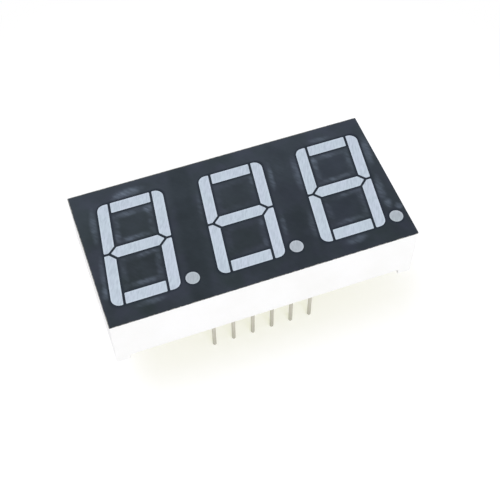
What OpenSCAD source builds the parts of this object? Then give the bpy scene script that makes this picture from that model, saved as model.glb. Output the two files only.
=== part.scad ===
// Seven segment display with three leaning digits and a decimal point after each.
// Z points out of the printed face, X runs along the digits and Y towards their tops.
// The origin lies under the middle of the face, level with the tips of the pins.

/* [Housing] */
// Gap left between two housings whose digits follow each other at one pitch
stack_gap = 0.5; // [0.1:0.05:0.8]
// Depth of the side walls, from the face to the rim
body_d = 7.2; // [6.4:0.1:9]
// Thickness of the side walls
side_wall = 0.9; // [0.7:0.05:1]
// Thickness of the moulded front, without its ink
front_skin = 1; // [0.8:0.05:1.6]
// Radius of the four upright edges
edge_r = 0.12; // [0.1:0.02:0.6]
// Height of the corner standoffs below the rim
standoff_h = 0.8; // [0.4:0.1:1.5]
// Length of each leg of a corner standoff
standoff_l = 1.7; // [1.2:0.1:2.5]
// Wall of the moulding round each digit and decimal point
block_wall = 0.5; // [0.4:0.05:0.7]
// Thickness of the ribs between the digits
rib_t = 0.7; // [0.5:0.05:1]
// Wall between a segment and the hollow inside its loop
core_wall = 0.9; // [0.7:0.05:1.2]
// How much each side of such a hollow opens out towards the circuit board
core_draft = 0.3; // [0.1:0.05:0.4]

/* [Face ink] */
// Thickness of the dark layer printed on the face
ink_t = 0.1; // [0.05:0.01:0.2]

/* [Digits] */
// Number of digits
digits = 3; // [2:1:3]
// Space between one digit and the next, along X
digit_space = 4.55; // [4.2:0.01:5.5]
// Height of a digit
digit_h = 14.14; // [13.6:0.02:14.3]
// Width of a digit, square to its lean
digit_w = 8.15; // [7.8:0.01:8.5]
// Angle by which the digits lean
lean_angle = 8; // [4:0.5:10]
// Width of the upright segments
upright_w = 1.33; // [1.2:0.01:1.5]
// Width of the level segments
level_w = 1.44; // [1.2:0.01:1.5]
// Gap between neighbouring segments
segment_gap = 0.31; // [0.2:0.01:0.4]
// Distance from the tips of the middle segment to the middle of the uprights
tip_inset = 0.18; // [0.15:0.01:0.4]
// Sideways run of the pointed ends for each millimetre of height
tip_slope = 1.02; // [0.8:0.01:1.1]
// Radius of the four outer corners of a digit
outer_r = 0.95; // [0.5:0.05:1.1]
// Radius of every other corner of a segment
soft_r = 0.1; // [0.05:0.01:0.15]
// Diameter of a decimal point
point_d = 1.64; // [1.4:0.02:1.8]
// Gap between a decimal point and the upright beside it, along X
point_gap = 0.64; // [0.5:0.01:0.7]
// How far a decimal point reaches below the foot of its digit
point_drop = 0.1; // [0:0.01:0.2]

/* [Light wells] */
// Length of a well where it meets the circuit board
mouth_l = 2.4; // [2:0.1:3]
// Width of a well where it meets the circuit board
mouth_w = 0.8; // [0.7:0.05:1]
// Space between a decimal point's die and the wall of its well
point_mouth_gap = 0.04; // [0.02:0.01:0.06]

/* [Circuit board] */
// Thickness of the board
board_t = 1; // [0.6:0.1:1.6]
// Gap between the board and the side walls
board_gap = 0.1; // [0.05:0.01:0.15]
// Thickness of the copper on the board
copper_t = 0.035; // [0.035:0.005:0.07]
// Width of the copper strip under the dies of a digit
strip_w = 0.9; // [0.7:0.05:1]
// Side of the square pad that a bond wire lands on
pad_w = 0.3; // [0.24:0.02:0.3]
// Gap in the copper round such a pad
pad_gap = 0.09; // [0.07:0.01:0.1]
// Width of the copper ring round a pin's hole
land_w = 0.25; // [0.2:0.01:0.3]

/* [Dies and bond wires] */
// Side of a light emitting die
die_w = 0.28; // [0.2:0.01:0.29]
// Height of a die
die_h = 0.2; // [0.15:0.01:0.25]
// Distance from the middle of a die to the foot of its bond wire
bond_reach = 0.5; // [0.46:0.01:0.52]
// Diameter of a bond wire
wire_d = 0.04; // [0.03:0.005:0.05]

/* [Pins] */
// Number of pins in each of the two rows
pins_per_row = 6; // [5:1:7]
// Distance between neighbouring pins
pin_pitch = 2.54; // [2.5:0.01:2.6]
// Distance of a row of pins beyond the ends of the digits
row_offset = 0.55; // [0.5:0.01:0.8]
// Space between the middle of a row of pins and the side wall
row_margin = 0.98; // [0.9:0.01:1.5]
// Diameter of a pin
pin_d = 0.5; // [0.4:0.02:0.54]
// Diameter of its thicker shank, from the standoffs up through the circuit board
shank_d = 0.6; // [0.56:0.02:0.7]
// Length of a pin below the standoffs
pin_below = 6.5; // [4:0.1:10]
// Length of a pin in front of the circuit board
pin_above = 0.5; // [0.4:0.05:0.7]
// Bevel at both ends of a pin
pin_bevel = 0.1; // [0.05:0.01:0.15]
// Space that the moulding leaves round the front end of a pin
pin_clear = 0.35; // [0.3:0.01:0.38]

/* [Solder and potting] */
// Gap between a pin and its hole in the circuit board, filled with solder
hole_gap = 0.1; // [0.06:0.01:0.12]
// Copper left bare round the solder
solder_edge = 0.1; // [0.05:0.01:0.15]
// Height of the solder on the back of the board
solder_back_h = 0.55; // [0.4:0.05:0.7]
// Height of the solder on the front of the board
solder_front_h = 0.3; // [0.2:0.05:0.35]
// Thickness of the resin behind the board
potting_t = 0.9; // [0.8:0.05:1.5]
// Depth of the resin's surface inside the rim
potting_recess = 0.3; // [0.1:0.05:0.6]

/* [Hidden] */
$fn = 48;

// Levels, from the pin tips upwards
z_foot = pin_below;
z_rim = z_foot + standoff_h;
z_shank = (z_foot + z_rim) / 2;
z_potting = z_rim + potting_recess;
z_board_back = z_potting + potting_t;
z_board_front = z_board_back + board_t;
z_seat = z_board_front + copper_t;
z_face = z_rim + body_d;
z_front = z_face - ink_t;
z_skin = z_front - front_skin;

// Segment layout, across and along a digit before it leans
far_u = digit_w / 2;
near_u = far_u - upright_w;
mid_u = (far_u + near_u) / 2;
level_half_l = near_u - segment_gap;
tip_u = mid_u - tip_inset;
level_y = (digit_h - level_w) / 2;
upright_y0 = segment_gap / 2;
upright_y1 = digit_h / 2;
mid_y = (upright_y0 + upright_y1) / 2;

// Bevel of an upright beside the middle segment, a gap away from that segment's pointed end
bevel_u = tip_u + segment_gap * norm([1, tip_slope]) - upright_y0 * tip_slope - near_u;

// Decimal point, beside the foot of its digit
point_y = (digit_h - point_d) / 2 + point_drop;
point_x = far_u - point_y * tan(lean_angle) + point_gap + point_d / 2;
point_mouth_r = norm([bond_reach + die_w, die_w]) / 2 + point_mouth_gap;

// Steps in which the two kinds of corner are rounded
outer_steps = 6;
soft_steps = 2;

// Rounding of the moulded blocks and hollows
block_r = 1;
core_r = 0.4;

// Pitch of the digits, spacing of the rows of pins, outline of the housing and space inside its walls
digit_pitch = digit_w + digit_space;
row_spacing = digit_h + 2 * row_offset;
body_l = digits * digit_pitch - stack_gap;
body_w = row_spacing + 2 * (row_margin + side_wall);
inner_l = body_l - 2 * side_wall;
inner_w = body_w - 2 * side_wall;

pin_r = pin_d / 2;
shank_r = shank_d / 2;
hole_r = shank_r + hole_gap;
land_r = hole_r + land_w;
solder_r = land_r - solder_edge;
solder_steps = 5;
pin_count = 2 * pins_per_row;

// How far cutting shapes reach past the solids that they cut
over = 0.2;

SEGMENTS = ["a", "b", "c", "d", "e", "f", "g", "point"];

function pipe_name(d, s) = str("digit_", d, s == "point" ? "_decimal_point" : str("_segment_", s));

// Middle of a digit along X
function digit_x(d) = (d - (digits + 1) / 2) * digit_pitch;

// Place of a pin: the first row runs from left to right below the digits, the second back above them
function pin_xy(p) = p <= pins_per_row
    ? [(p - (pins_per_row + 1) / 2) * pin_pitch, -row_spacing / 2]
    : [(pin_count + 1 - p - (pins_per_row + 1) / 2) * pin_pitch, row_spacing / 2];

// Leans a point of the upright layout
function lean(p) = [p[0] + p[1] * tan(lean_angle), p[1]];

function unit(v) = v / norm(v);
function backwards(list) = [for (i = [len(list) - 1 : -1 : 0]) list[i]];

// Points of the arc that rounds corner b between its neighbours a and c
function arc_points(a, b, c, r, steps) =
    let (to_a = unit(a - b), to_c = unit(c - b),
         half = acos(to_a * to_c) / 2,
         centre = b + unit(to_a + to_c) * r / sin(half),
         start = b + to_a * r / tan(half) - centre)
    [for (i = [0 : steps])
        let (turn = (180 - 2 * half) * i / steps)
        centre + [start[0] * cos(turn) - start[1] * sin(turn), start[0] * sin(turn) + start[1] * cos(turn)]];

// Leaned outline with rounded corners, from corners given anticlockwise as [across, along, radius, steps]
function rounded(corners) =
    let (n = len(corners), p = [for (c = corners) lean(c)])
    [for (i = [0 : n - 1])
        each arc_points(p[(i + n - 1) % n], p[i], p[(i + 1) % n], corners[i][2], corners[i][3])];

// Corners of a rectangle about a middle point
function box_corners(middle, half_l, half_w, r, steps) = [
    for (c = [[-1, -1], [1, -1], [1, 1], [-1, 1]])
        [middle[0] + c[0] * half_l, middle[1] + c[1] * half_w, r, steps]];

// Corners of the middle segment, pointed at both ends
function middle_corners(tip, half_w) =
    let (shoulder = tip - half_w * tip_slope)
    [for (c = [[-tip, 0], [-shoulder, -half_w], [shoulder, -half_w],
               [tip, 0], [shoulder, half_w], [-shoulder, half_w]])
        [c[0], c[1], soft_r, soft_steps]];

// Corners of the upright on one side of a digit, in its upper or lower half
function upright_corners(side, up, half_l, half_w) =
    let (share = 2 * half_w / upright_w,
         near = mid_u - half_w, far = mid_u + half_w,
         low = mid_y - half_l, high = mid_y + half_l,
         bevel = bevel_u * share,
         corners = [[near, low + bevel / tip_slope, soft_r, soft_steps],
                    [near + bevel, low, soft_r, soft_steps],
                    [far, low, soft_r, soft_steps],
                    [far, high, outer_r * share, outer_steps],
                    [near, high, soft_r, soft_steps]],
         placed = [for (c = corners) [side * c[0], up * c[1], c[2], c[3]]])
    side * up > 0 ? placed : backwards(placed);

// Outline of a segment at the face, or of its well's mouth at the circuit board
function outline(s, at_face) = rounded(
    let (level_l = at_face ? level_half_l : mouth_l / 2,
         level_half_w = (at_face ? level_w : mouth_w) / 2,
         upright_l = at_face ? (upright_y1 - upright_y0) / 2 : mouth_l / 2,
         upright_half_w = (at_face ? upright_w : mouth_w) / 2)
    s == "a" ? box_corners([0, level_y], level_l, level_half_w, soft_r, soft_steps) :
    s == "b" ? upright_corners(1, 1, upright_l, upright_half_w) :
    s == "c" ? upright_corners(1, -1, upright_l, upright_half_w) :
    s == "d" ? box_corners([0, -level_y], level_l, level_half_w, soft_r, soft_steps) :
    s == "e" ? upright_corners(-1, -1, upright_l, upright_half_w) :
    s == "f" ? upright_corners(-1, 1, upright_l, upright_half_w) :
    middle_corners(at_face ? tip_u : (mouth_l + mouth_w * tip_slope) / 2, level_half_w));

// Middle of a segment, where its die and bond wire are
function segment_xy(s) =
    s == "a" ? lean([0, level_y]) :
    s == "b" ? lean([mid_u, mid_y]) :
    s == "c" ? lean([mid_u, -mid_y]) :
    s == "d" ? lean([0, -level_y]) :
    s == "e" ? lean([-mid_u, -mid_y]) :
    s == "f" ? lean([-mid_u, mid_y]) :
    s == "g" ? [0, 0] : [point_x, -point_y];

// Direction from a die to the foot of its bond wire, along the segment
function bond_angle(s) = len(search(s, "bcef")) == 1 ? 90 - lean_angle : 0;

// Solid through sections given upwards as [outline, height], all with the same number of points
module loft(sections) {
    n = len(sections[0][0]);
    top = (len(sections) - 1) * n;
    polyhedron(
        points = [for (section = sections) each [for (p = section[0]) [p[0], p[1], section[1]]]],
        faces = concat(
            [[for (i = [0 : n - 1]) i]],
            [[for (i = [n - 1 : -1 : 0]) top + i]],
            [for (base = [0 : n : top - n], i = [0 : n - 1])
                [base + i, base + n + i, base + n + (i + 1) % n, base + (i + 1) % n]]));
}

module prism(z_low, z_high) {
    translate([0, 0, z_low]) linear_extrude(height = z_high - z_low) children();
}

// Rectangle with round corners
module plate(l, w, r) {
    square([l - 2 * r, w], center = true);
    square([l, w - 2 * r], center = true);
    for (x = [-1, 1], y = [-1, 1])
        translate([x * (l / 2 - r), y * (w / 2 - r)]) circle(r = r);
}

module body_outline() { plate(body_l, body_w, edge_r); }
module inner_outline() { square([inner_l, inner_w], center = true); }

module at_digit(d) { translate([digit_x(d), 0, 0]) children(); }
module at_pins() { for (p = [1 : pin_count]) translate(pin_xy(p)) children(); }

// Places children at a segment's die, on the copper, with X towards the bond wire's foot
module at_die(s) {
    translate([segment_xy(s)[0], segment_xy(s)[1], z_seat]) rotate([0, 0, bond_angle(s)]) children();
}

// Light well of one segment, which opens from its mouth at the circuit board to the moulding's front.
// It goes on straight to the heights given, which lie at or past these two.
module well(s, z_low, z_high) {
    if (s == "point")
        translate([point_x, -point_y, 0])
            rotate_extrude()
                polygon(concat(
                    z_low < z_seat ? [[0, z_low], [point_mouth_r, z_low]] : [[0, z_seat]],
                    [[point_mouth_r, z_seat], [point_d / 2, z_front], [point_d / 2, z_high], [0, z_high]]));
    else
        loft(concat(
            z_low < z_seat ? [[outline(s, false), z_low]] : [],
            [[outline(s, false), z_seat], [outline(s, true), z_front], [outline(s, true), z_high]]));
}

// Opening of one segment in the face ink
module window(s) {
    if (s == "point") translate([point_x, -point_y]) circle(r = point_d / 2);
    else polygon(outline(s, true));
}

// Moulded block that holds the wells of one digit
module digit_block() {
    prism(z_seat, z_front) {
        polygon(rounded(box_corners(
            [0, 0], far_u + block_wall, digit_h / 2 + block_wall, block_r, outer_steps)));
        translate([point_x, -point_y]) circle(r = point_d / 2 + block_wall);
    }
}

// Hollow inside the upper or lower loop of a digit, open towards the circuit board
module loop_hollow(up) {
    middle = [0, up * level_y / 2];
    half_l = near_u - core_wall;
    half_w = (level_y - level_w) / 2 - core_wall;
    wide = rounded(box_corners(middle, half_l + core_draft, half_w + core_draft, core_r, soft_steps));
    narrow = rounded(box_corners(middle, half_l, half_w, core_r, soft_steps));
    loft([[wide, z_seat - over], [wide, z_seat], [narrow, z_skin]]);
}

// Ribs that join the digit blocks to each other and to the side walls
module ribs() {
    prism(z_seat, z_front) {
        for (d = [1 : digits - 1])
            translate([digit_x(d) + digit_pitch / 2, 0])
                polygon([for (c = box_corners([0, 0], rib_t / 2, body_w / 2)) lean(c)]);
        square([body_l, rib_t], center = true);
    }
}

// L-shaped feet below the rim, as thick as the side walls
module standoffs() {
    prism(z_foot, z_rim)
        intersection() {
            difference() {
                body_outline();
                inner_outline();
            }
            for (x = [-1, 1], y = [-1, 1])
                translate([x * (body_l - standoff_l) / 2, y * (body_w - standoff_l) / 2])
                    square(standoff_l, center = true);
        }
}

module reflector_housing() {
    color("WhiteSmoke")
        difference() {
            union() {
                difference() {
                    prism(z_rim, z_front) body_outline();
                    prism(z_rim - over, z_skin) inner_outline();
                }
                standoffs();
                intersection() {
                    prism(z_seat, z_front) body_outline();
                    union() {
                        for (d = [1 : digits]) at_digit(d) digit_block();
                        ribs();
                    }
                }
            }
            for (d = [1 : digits]) at_digit(d) {
                for (s = SEGMENTS) well(s, z_seat - over, z_front + over);
                for (up = [-1, 1]) loop_hollow(up);
            }
            prism(z_seat - over, z_seat + pin_above + pin_clear / 2)
                at_pins() circle(r = shank_r + pin_clear);
        }
}

module face_ink() {
    color("#363c43")
        prism(z_front, z_face)
            difference() {
                body_outline();
                for (d = [1 : digits]) translate([digit_x(d), 0]) for (s = SEGMENTS) window(s);
            }
}

// Die on its copper strip
module die() {
    translate([-(bond_reach + die_w) / 2, -die_w / 2, 0]) cube([die_w, die_w, die_h]);
}

// Bond wire from the top of a die over to its pad
module bond_wire() {
    translate([0, 0, die_h]) rotate([90, 0, 0])
        rotate_extrude(angle = 180) translate([bond_reach / 2, 0]) circle(d = wire_d, $fn = 6);
    translate([bond_reach / 2, 0, 0]) cylinder(h = die_h, d = wire_d, $fn = 6);
}

// Diffusing resin that fills one light well round its die and bond wire
module light_pipe(d, s) {
    color(s == "point" ? "#afb8c0" : "#c0cbd6")
        at_digit(d)
            difference() {
                well(s, z_seat, z_face);
                at_die(s) {
                    die();
                    bond_wire();
                }
            }
}

module digit_dies(d) {
    color("DimGray") at_digit(d) for (s = SEGMENTS) at_die(s) die();
}

module digit_bond_wires(d) {
    color("Gold") at_digit(d) for (s = SEGMENTS) at_die(s) bond_wire();
}

module circuit_board() {
    color("#d9cf9a")
        prism(z_board_back, z_board_front)
            difference() {
                square([inner_l - 2 * board_gap, inner_w - 2 * board_gap], center = true);
                at_pins() circle(r = hole_r);
            }
}

// Copper strip that joins the dies of a digit, in the shape of the digit
module die_strips() {
    for (side = [-1, 1])
        polygon([for (c = box_corners([side * mid_u, 0], strip_w / 2, level_y + strip_w / 2)) lean(c)]);
    for (y = [-level_y, 0, level_y])
        polygon([for (c = box_corners([0, y], mid_u, strip_w / 2)) lean(c)]);
    translate([point_x - mid_u / 2, -point_y]) square([mid_u, strip_w], center = true);
}

// Square at the foot of each bond wire of a digit
module wire_pads(side) {
    for (s = SEGMENTS)
        translate(segment_xy(s)) rotate(bond_angle(s))
            translate([bond_reach / 2, 0]) square(side, center = true);
}

// Copper of one digit: its strip, and a pad of its own for each bond wire
module digit_copper() {
    difference() {
        die_strips();
        wire_pads(pad_w + 2 * pad_gap);
    }
    wire_pads(pad_w);
}

module lands() {
    at_pins()
        difference() {
            circle(r = land_r);
            circle(r = hole_r);
        }
}

module copper_pads() {
    color("Peru") {
        prism(z_board_front, z_seat) {
            for (d = [1 : digits]) translate([digit_x(d), 0]) digit_copper();
            lands();
        }
        prism(z_board_back - copper_t, z_board_back) lands();
    }
}

// Hollow curve of a solder fillet, from the pin out to the land, as [radius, height]
function fillet(height) = [
    for (i = [0 : solder_steps])
        let (a = 90 * i / solder_steps)
        [solder_r - (solder_r - shank_r) * cos(a), height * (1 - sin(a))]];

// Solder round one pin: a fillet on each side of the board, and the filled hole between them
module solder_joint() {
    z_back = z_board_back - copper_t;
    rotate_extrude()
        polygon(concat(
            [for (p = fillet(solder_front_h)) [p[0], z_seat + p[1]]],
            [[hole_r, z_seat], [hole_r, z_back]],
            [for (p = backwards(fillet(solder_back_h))) [p[0], z_back - p[1]]]));
}

module solder_joints() {
    color("Silver") at_pins() solder_joint();
}

module pin_solid() {
    top = z_seat + pin_above;
    rotate_extrude()
        polygon([[0, 0], [pin_r - pin_bevel, 0], [pin_r, pin_bevel], [pin_r, z_shank],
                 [shank_r, z_shank], [shank_r, top - pin_bevel], [shank_r - pin_bevel, top], [0, top]]);
}

module pin(p) {
    color("#b8b5a4") translate(pin_xy(p)) pin_solid();
}

module back_potting() {
    color("#e8e4d4")
        difference() {
            prism(z_potting, z_board_back) inner_outline();
            at_pins() {
                pin_solid();
                solder_joint();
            }
            prism(z_board_back - copper_t, z_board_back + over) lands();
        }
}

reflector_housing();
face_ink();
circuit_board();
copper_pads();
solder_joints();
back_potting();
for (d = [1 : digits]) {
    for (s = SEGMENTS) light_pipe(d, s);
    digit_dies(d);
    digit_bond_wires(d);
}
for (p = [1 : pin_count]) pin(p);
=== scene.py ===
"""Looks of a three digit seven segment display that lies face up on its pins.

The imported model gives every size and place. This script dresses its nodes, models the pieces whose
edges and surfaces need more than the frame holds, and sets up the camera, the lamps and the floor.
"""

from __future__ import annotations

import logging
import math
from dataclasses import dataclass
from enum import Enum
from typing import Callable, Iterable, Sequence

import bpy
from mathutils import Matrix, Vector

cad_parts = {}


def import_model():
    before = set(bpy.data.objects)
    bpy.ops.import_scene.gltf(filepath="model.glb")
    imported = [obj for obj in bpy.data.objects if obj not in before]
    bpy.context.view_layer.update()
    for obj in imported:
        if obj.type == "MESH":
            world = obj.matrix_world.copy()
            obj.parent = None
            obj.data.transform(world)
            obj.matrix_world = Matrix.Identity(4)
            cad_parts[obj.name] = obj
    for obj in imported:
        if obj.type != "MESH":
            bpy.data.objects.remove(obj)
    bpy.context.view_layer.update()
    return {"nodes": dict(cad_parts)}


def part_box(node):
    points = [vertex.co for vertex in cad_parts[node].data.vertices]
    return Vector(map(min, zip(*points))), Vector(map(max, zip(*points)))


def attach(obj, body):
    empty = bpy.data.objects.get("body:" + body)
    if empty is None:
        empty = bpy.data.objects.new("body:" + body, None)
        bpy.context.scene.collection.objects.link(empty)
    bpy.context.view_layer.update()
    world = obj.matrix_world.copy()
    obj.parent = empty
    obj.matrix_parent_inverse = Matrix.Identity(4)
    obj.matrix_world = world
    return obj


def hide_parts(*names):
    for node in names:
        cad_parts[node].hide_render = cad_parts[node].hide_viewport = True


LOG = logging.getLogger("display")
ROOT = "root"
MM = 0.001
# Lengths that differ by less than LEVEL count as equal, and points nearer than WELD are one point.
LEVEL = 2e-5
WELD = 1e-7
# Largest bend that counts as flat, and least dot product of two directions that count as the same.
FLAT_DEG = 0.5
ALIGNED = 0.99
# Depth under the face, in millimetres, over which the corners of a segment are its printed outline.
OUTLINE_DEPTH = 0.01
# Sockets of a Mix node that mixes colours.
MIX_SHARE, MIX_LOW, MIX_HIGH, MIX_RESULT = 0, 6, 7, 2
Colour = tuple[float, float, float]
Triple = tuple[float, float, float]
# Least and most of a value, or where a smooth step starts and ends.
Span = tuple[float, float]
# What a field is multiplied by, and what is then added to it.
Scaling = tuple[float, float]
# Brings a wave between -1 and 1 to between 0 and 1.
WAVE_TO_SHARE: Scaling = (0.5, 0.5)


class Slot(Enum):
    """Material slots of the record, by name. No piece in this script takes them."""

    HOUSING = "housing"
    POTTING = "potting"
    PIN = "pin"


@dataclass(frozen=True)
class DigitLayout:
    """Places of the printed digits, in millimetres, measured square to their lean."""

    pitch: float
    slope: float
    near: float
    far: float
    top: float
    level_inner: float
    middle_half: float
    point_x: float
    point_y: float
    point_r: float
    half_l: float
    half_w: float
    face_z: float
    corner_r: float = 0.95

    @classmethod
    def from_frame(cls, nodes: dict[str, bpy.types.Object]) -> DigitLayout:
        """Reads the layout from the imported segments.

        Args:
            nodes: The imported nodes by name.

        Returns:
            The layout.
        """
        def corners(name: str) -> tuple[Vector, Vector]:
            """Corners of a node's box in millimetres."""
            low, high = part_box(name)
            return low / MM, high / MM

        top_low, top_high = corners("digit_2_segment_a")
        foot_low, foot_high = corners("digit_2_segment_d")
        bar_low, bar_high = corners("digit_2_segment_g")
        next_low, next_high = corners("digit_3_segment_g")
        dot_low, dot_high = corners("digit_2_decimal_point")
        ink_high = corners("face_ink")[1]
        run = (top_low.x + top_high.x - foot_low.x - foot_high.x) / 2
        slope = run / ((top_low.y + top_high.y - foot_low.y - foot_high.y) / 2)
        centre = (bar_low.x + bar_high.x) / 2
        across = [point.co.x / MM - point.co.y / MM * slope - centre
                  for point in nodes["digit_2_segment_b"].data.vertices
                  if point.co.z / MM > ink_high.z - OUTLINE_DEPTH]
        return cls(
            pitch=(next_low.x + next_high.x) / 2 - centre, slope=slope, near=min(across), far=max(across),
            top=top_high.y, level_inner=top_low.y, middle_half=bar_high.y,
            point_x=(dot_low.x + dot_high.x) / 2 - centre, point_y=(dot_low.y + dot_high.y) / 2,
            point_r=(dot_high.x - dot_low.x) / 2, half_l=ink_high.x, half_w=ink_high.y,
            face_z=ink_high.z)


@dataclass(frozen=True)
class Grain:
    """One layer of noise, in millimetres, above 1 in stretch for finer."""

    size: float
    detail: float = 3.0
    stretch: Triple = (1.0, 1.0, 1.0)
    turn_deg: float = 0.0
    span: Span | None = None


@dataclass(frozen=True)
class SheenPatch:
    """A soft pale patch of painted reflection on the ink, in millimetres on the face, along the digits
    unless turned.
    """

    x: float
    y: float
    half_l: float
    half_w: float
    strength: float
    turn_deg: float = -8.0


class Field:
    """A number that a material works out at each point of the surface."""

    def __init__(self, graph: Graph, socket: bpy.types.NodeSocket) -> None:
        """Wraps a node's output.

        Args:
            graph: The graph that the node belongs to.
            socket: The output that carries the number.
        """
        self.graph = graph
        self.socket = socket

    def _math(self, operation: str, other: Field | float | None = None) -> Field:
        """Feeds this field through one Math node."""
        values = [self] if other is None else [self, other]
        return self.graph.math(operation, *values)

    def __add__(self, other: Field | float) -> Field:
        """Sum."""
        return self._math("ADD", other)

    def __sub__(self, other: Field | float) -> Field:
        """Difference."""
        return self._math("SUBTRACT", other)

    def __rsub__(self, other: float) -> Field:
        """Difference from a plain number."""
        return self.graph.math("SUBTRACT", other, self)

    def __mul__(self, other: Field | float) -> Field:
        """Product."""
        return self._math("MULTIPLY", other)

    def __abs__(self) -> Field:
        """Size without its sign."""
        return self._math("ABSOLUTE")

    def scaled(self, gain: float, base: float) -> Field:
        """Times a gain, plus a base."""
        return self * gain + base

    def least(self, other: Field | float) -> Field:
        """The smaller of two."""
        return self._math("MINIMUM", other)

    def most(self, other: Field | float) -> Field:
        """The larger of two."""
        return self._math("MAXIMUM", other)

    def rise(self, low: float, high: float) -> Field:
        """Smooth step from 0 at low to 1 at high."""
        return self.graph.rise(self, low, high)

    def fall(self, low: float, high: float) -> Field:
        """Smooth step from 1 at low to 0 at high."""
        return 1.0 - self.rise(low, high)

    def band(self, low: float, high: float, soft: float) -> Field:
        """1 between low and high, with soft edges inside them."""
        return self.rise(low, low + soft) * self.fall(high - soft, high)


class Graph:
    """Node tree of a material or the world, with short calls for the nodes that the finishes use."""

    def __init__(self, owner: bpy.types.Material | bpy.types.World,
                 output: str = "ShaderNodeOutputMaterial") -> None:
        """Empties the tree and adds its output.

        Args:
            owner: The material or world.
            output: Kind of its output node.
        """
        self.owner = owner
        owner.use_nodes = True
        self.tree = owner.node_tree
        self.tree.nodes.clear()
        self.output = self.node(output)

    def node(self, kind: str, **settings: object) -> bpy.types.Node:
        """Adds a node and sets its properties."""
        made = self.tree.nodes.new(kind)
        for key, value in settings.items():
            setattr(made, key, value)
        return made

    def feed(self, socket: bpy.types.NodeSocket, value: object) -> None:
        """Links a field or socket to an input, or sets the input to a plain value."""
        if isinstance(value, Field):
            self.tree.links.new(value.socket, socket)
        elif isinstance(value, bpy.types.NodeSocket):
            self.tree.links.new(value, socket)
        elif isinstance(value, tuple) and len(value) == 3 and socket.type == "RGBA":
            socket.default_value = (*value, 1.0)
        else:
            socket.default_value = value

    def math(self, operation: str, *values: Field | float) -> Field:
        """Adds a Math node on the values."""
        made = self.node("ShaderNodeMath", operation=operation)
        for socket, value in zip(made.inputs, values):
            self.feed(socket, value)
        return Field(self, made.outputs[0])

    def rise(self, value: Field, low: float, high: float) -> Field:
        """Adds a smooth step from 0 at low to 1 at high."""
        made = self.node("ShaderNodeMapRange", interpolation_type="SMOOTHSTEP")
        self.feed(made.inputs["Value"], value)
        made.inputs["From Min"].default_value = low
        made.inputs["From Max"].default_value = high
        return Field(self, made.outputs["Result"])

    def place(self, scale: Triple = (1.0, 1.0, 1.0), turn_deg: float = 0.0) -> bpy.types.NodeSocket:
        """Object coordinates in millimetres, turned about Z and stretched.

        Args:
            scale: Stretch along each axis.
            turn_deg: Turn about Z in degrees.

        Returns:
            The vector's socket.
        """
        coords = self.node("ShaderNodeTexCoord")
        mapping = self.node("ShaderNodeMapping", vector_type="TEXTURE")
        self.tree.links.new(coords.outputs["Object"], mapping.inputs["Vector"])
        mapping.inputs["Scale"].default_value = tuple(MM / s for s in scale)
        mapping.inputs["Rotation"].default_value = (0.0, 0.0, math.radians(turn_deg))
        return mapping.outputs["Vector"]

    def axes(self) -> tuple[Field, Field, Field]:
        """X, Y and Z of the point in millimetres."""
        split = self.node("ShaderNodeSeparateXYZ")
        self.tree.links.new(self.place(), split.inputs[0])
        return tuple(Field(self, output) for output in split.outputs)

    def noise_node(self, grain: Grain) -> bpy.types.Node:
        """Adds the node of a layer of noise."""
        made = self.node("ShaderNodeTexNoise")
        self.feed(made.inputs["Vector"], self.place(grain.stretch, grain.turn_deg))
        made.inputs["Scale"].default_value = 1.0 / grain.size
        made.inputs["Detail"].default_value = grain.detail
        return made

    def noise(self, grain: Grain) -> Field:
        """Adds a layer of noise.

        Args:
            grain: The layer.

        Returns:
            Noise about 0.5, or a smooth step over the layer's span where it has one.
        """
        field = Field(self, self.noise_node(grain).outputs["Fac"])
        return field if grain.span is None else field.rise(*grain.span)

    def seen(self) -> Field:
        """1 on rays that the camera sees, directly, by reflection or through glass, and 0 on others."""
        path = self.node("ShaderNodeLightPath")
        direct, mirrored, passed = (Field(self, path.outputs[name]) for name in
                                    ("Is Camera Ray", "Is Glossy Ray", "Is Transmission Ray"))
        return direct.most(mirrored).most(passed)

    def blend(self, share: Field | float, low: Colour | bpy.types.NodeSocket,
              high: Colour | bpy.types.NodeSocket) -> bpy.types.NodeSocket:
        """Mixes two colours.

        Args:
            share: Share of the second colour.
            low: First colour or socket.
            high: Second colour or socket.

        Returns:
            The mixed colour's socket.
        """
        made = self.node("ShaderNodeMix", data_type="RGBA")
        self.feed(made.inputs[MIX_SHARE], share)
        self.feed(made.inputs[MIX_LOW], low)
        self.feed(made.inputs[MIX_HIGH], high)
        return made.outputs[MIX_RESULT]

    def stack(self, share: Field | bpy.types.NodeSocket, low: bpy.types.Node,
              high: bpy.types.Node) -> bpy.types.Node:
        """Mixes two shaders, the second by the share."""
        made = self.node("ShaderNodeMixShader")
        self.feed(made.inputs[0], share)
        self.feed(made.inputs[1], low.outputs[0])
        self.feed(made.inputs[2], high.outputs[0])
        return made

    def bump(self, height: Field, depth: float) -> bpy.types.NodeSocket:
        """Adds relief of a depth in millimetres and gives back the normal's socket."""
        made = self.node("ShaderNodeBump")
        made.inputs["Distance"].default_value = depth * MM
        self.feed(made.inputs["Height"], height)
        return made.outputs["Normal"]

    def surface(self, **values: object) -> bpy.types.Material:
        """Ends the graph with a Principled shader.

        Args:
            **values: Its inputs by name, with underscores for spaces.

        Returns:
            The finished material.
        """
        shader = self.node("ShaderNodeBsdfPrincipled")
        for key, value in values.items():
            self.feed(shader.inputs[key.replace("_", " ")], value)
        return self.end(shader)

    def end(self, shader: bpy.types.Node) -> bpy.types.Material | bpy.types.World:
        """Links the last shader to the output and gives back the finished material or world."""
        self.tree.links.new(shader.outputs[0], self.output.inputs["Surface"])
        return self.owner


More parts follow.
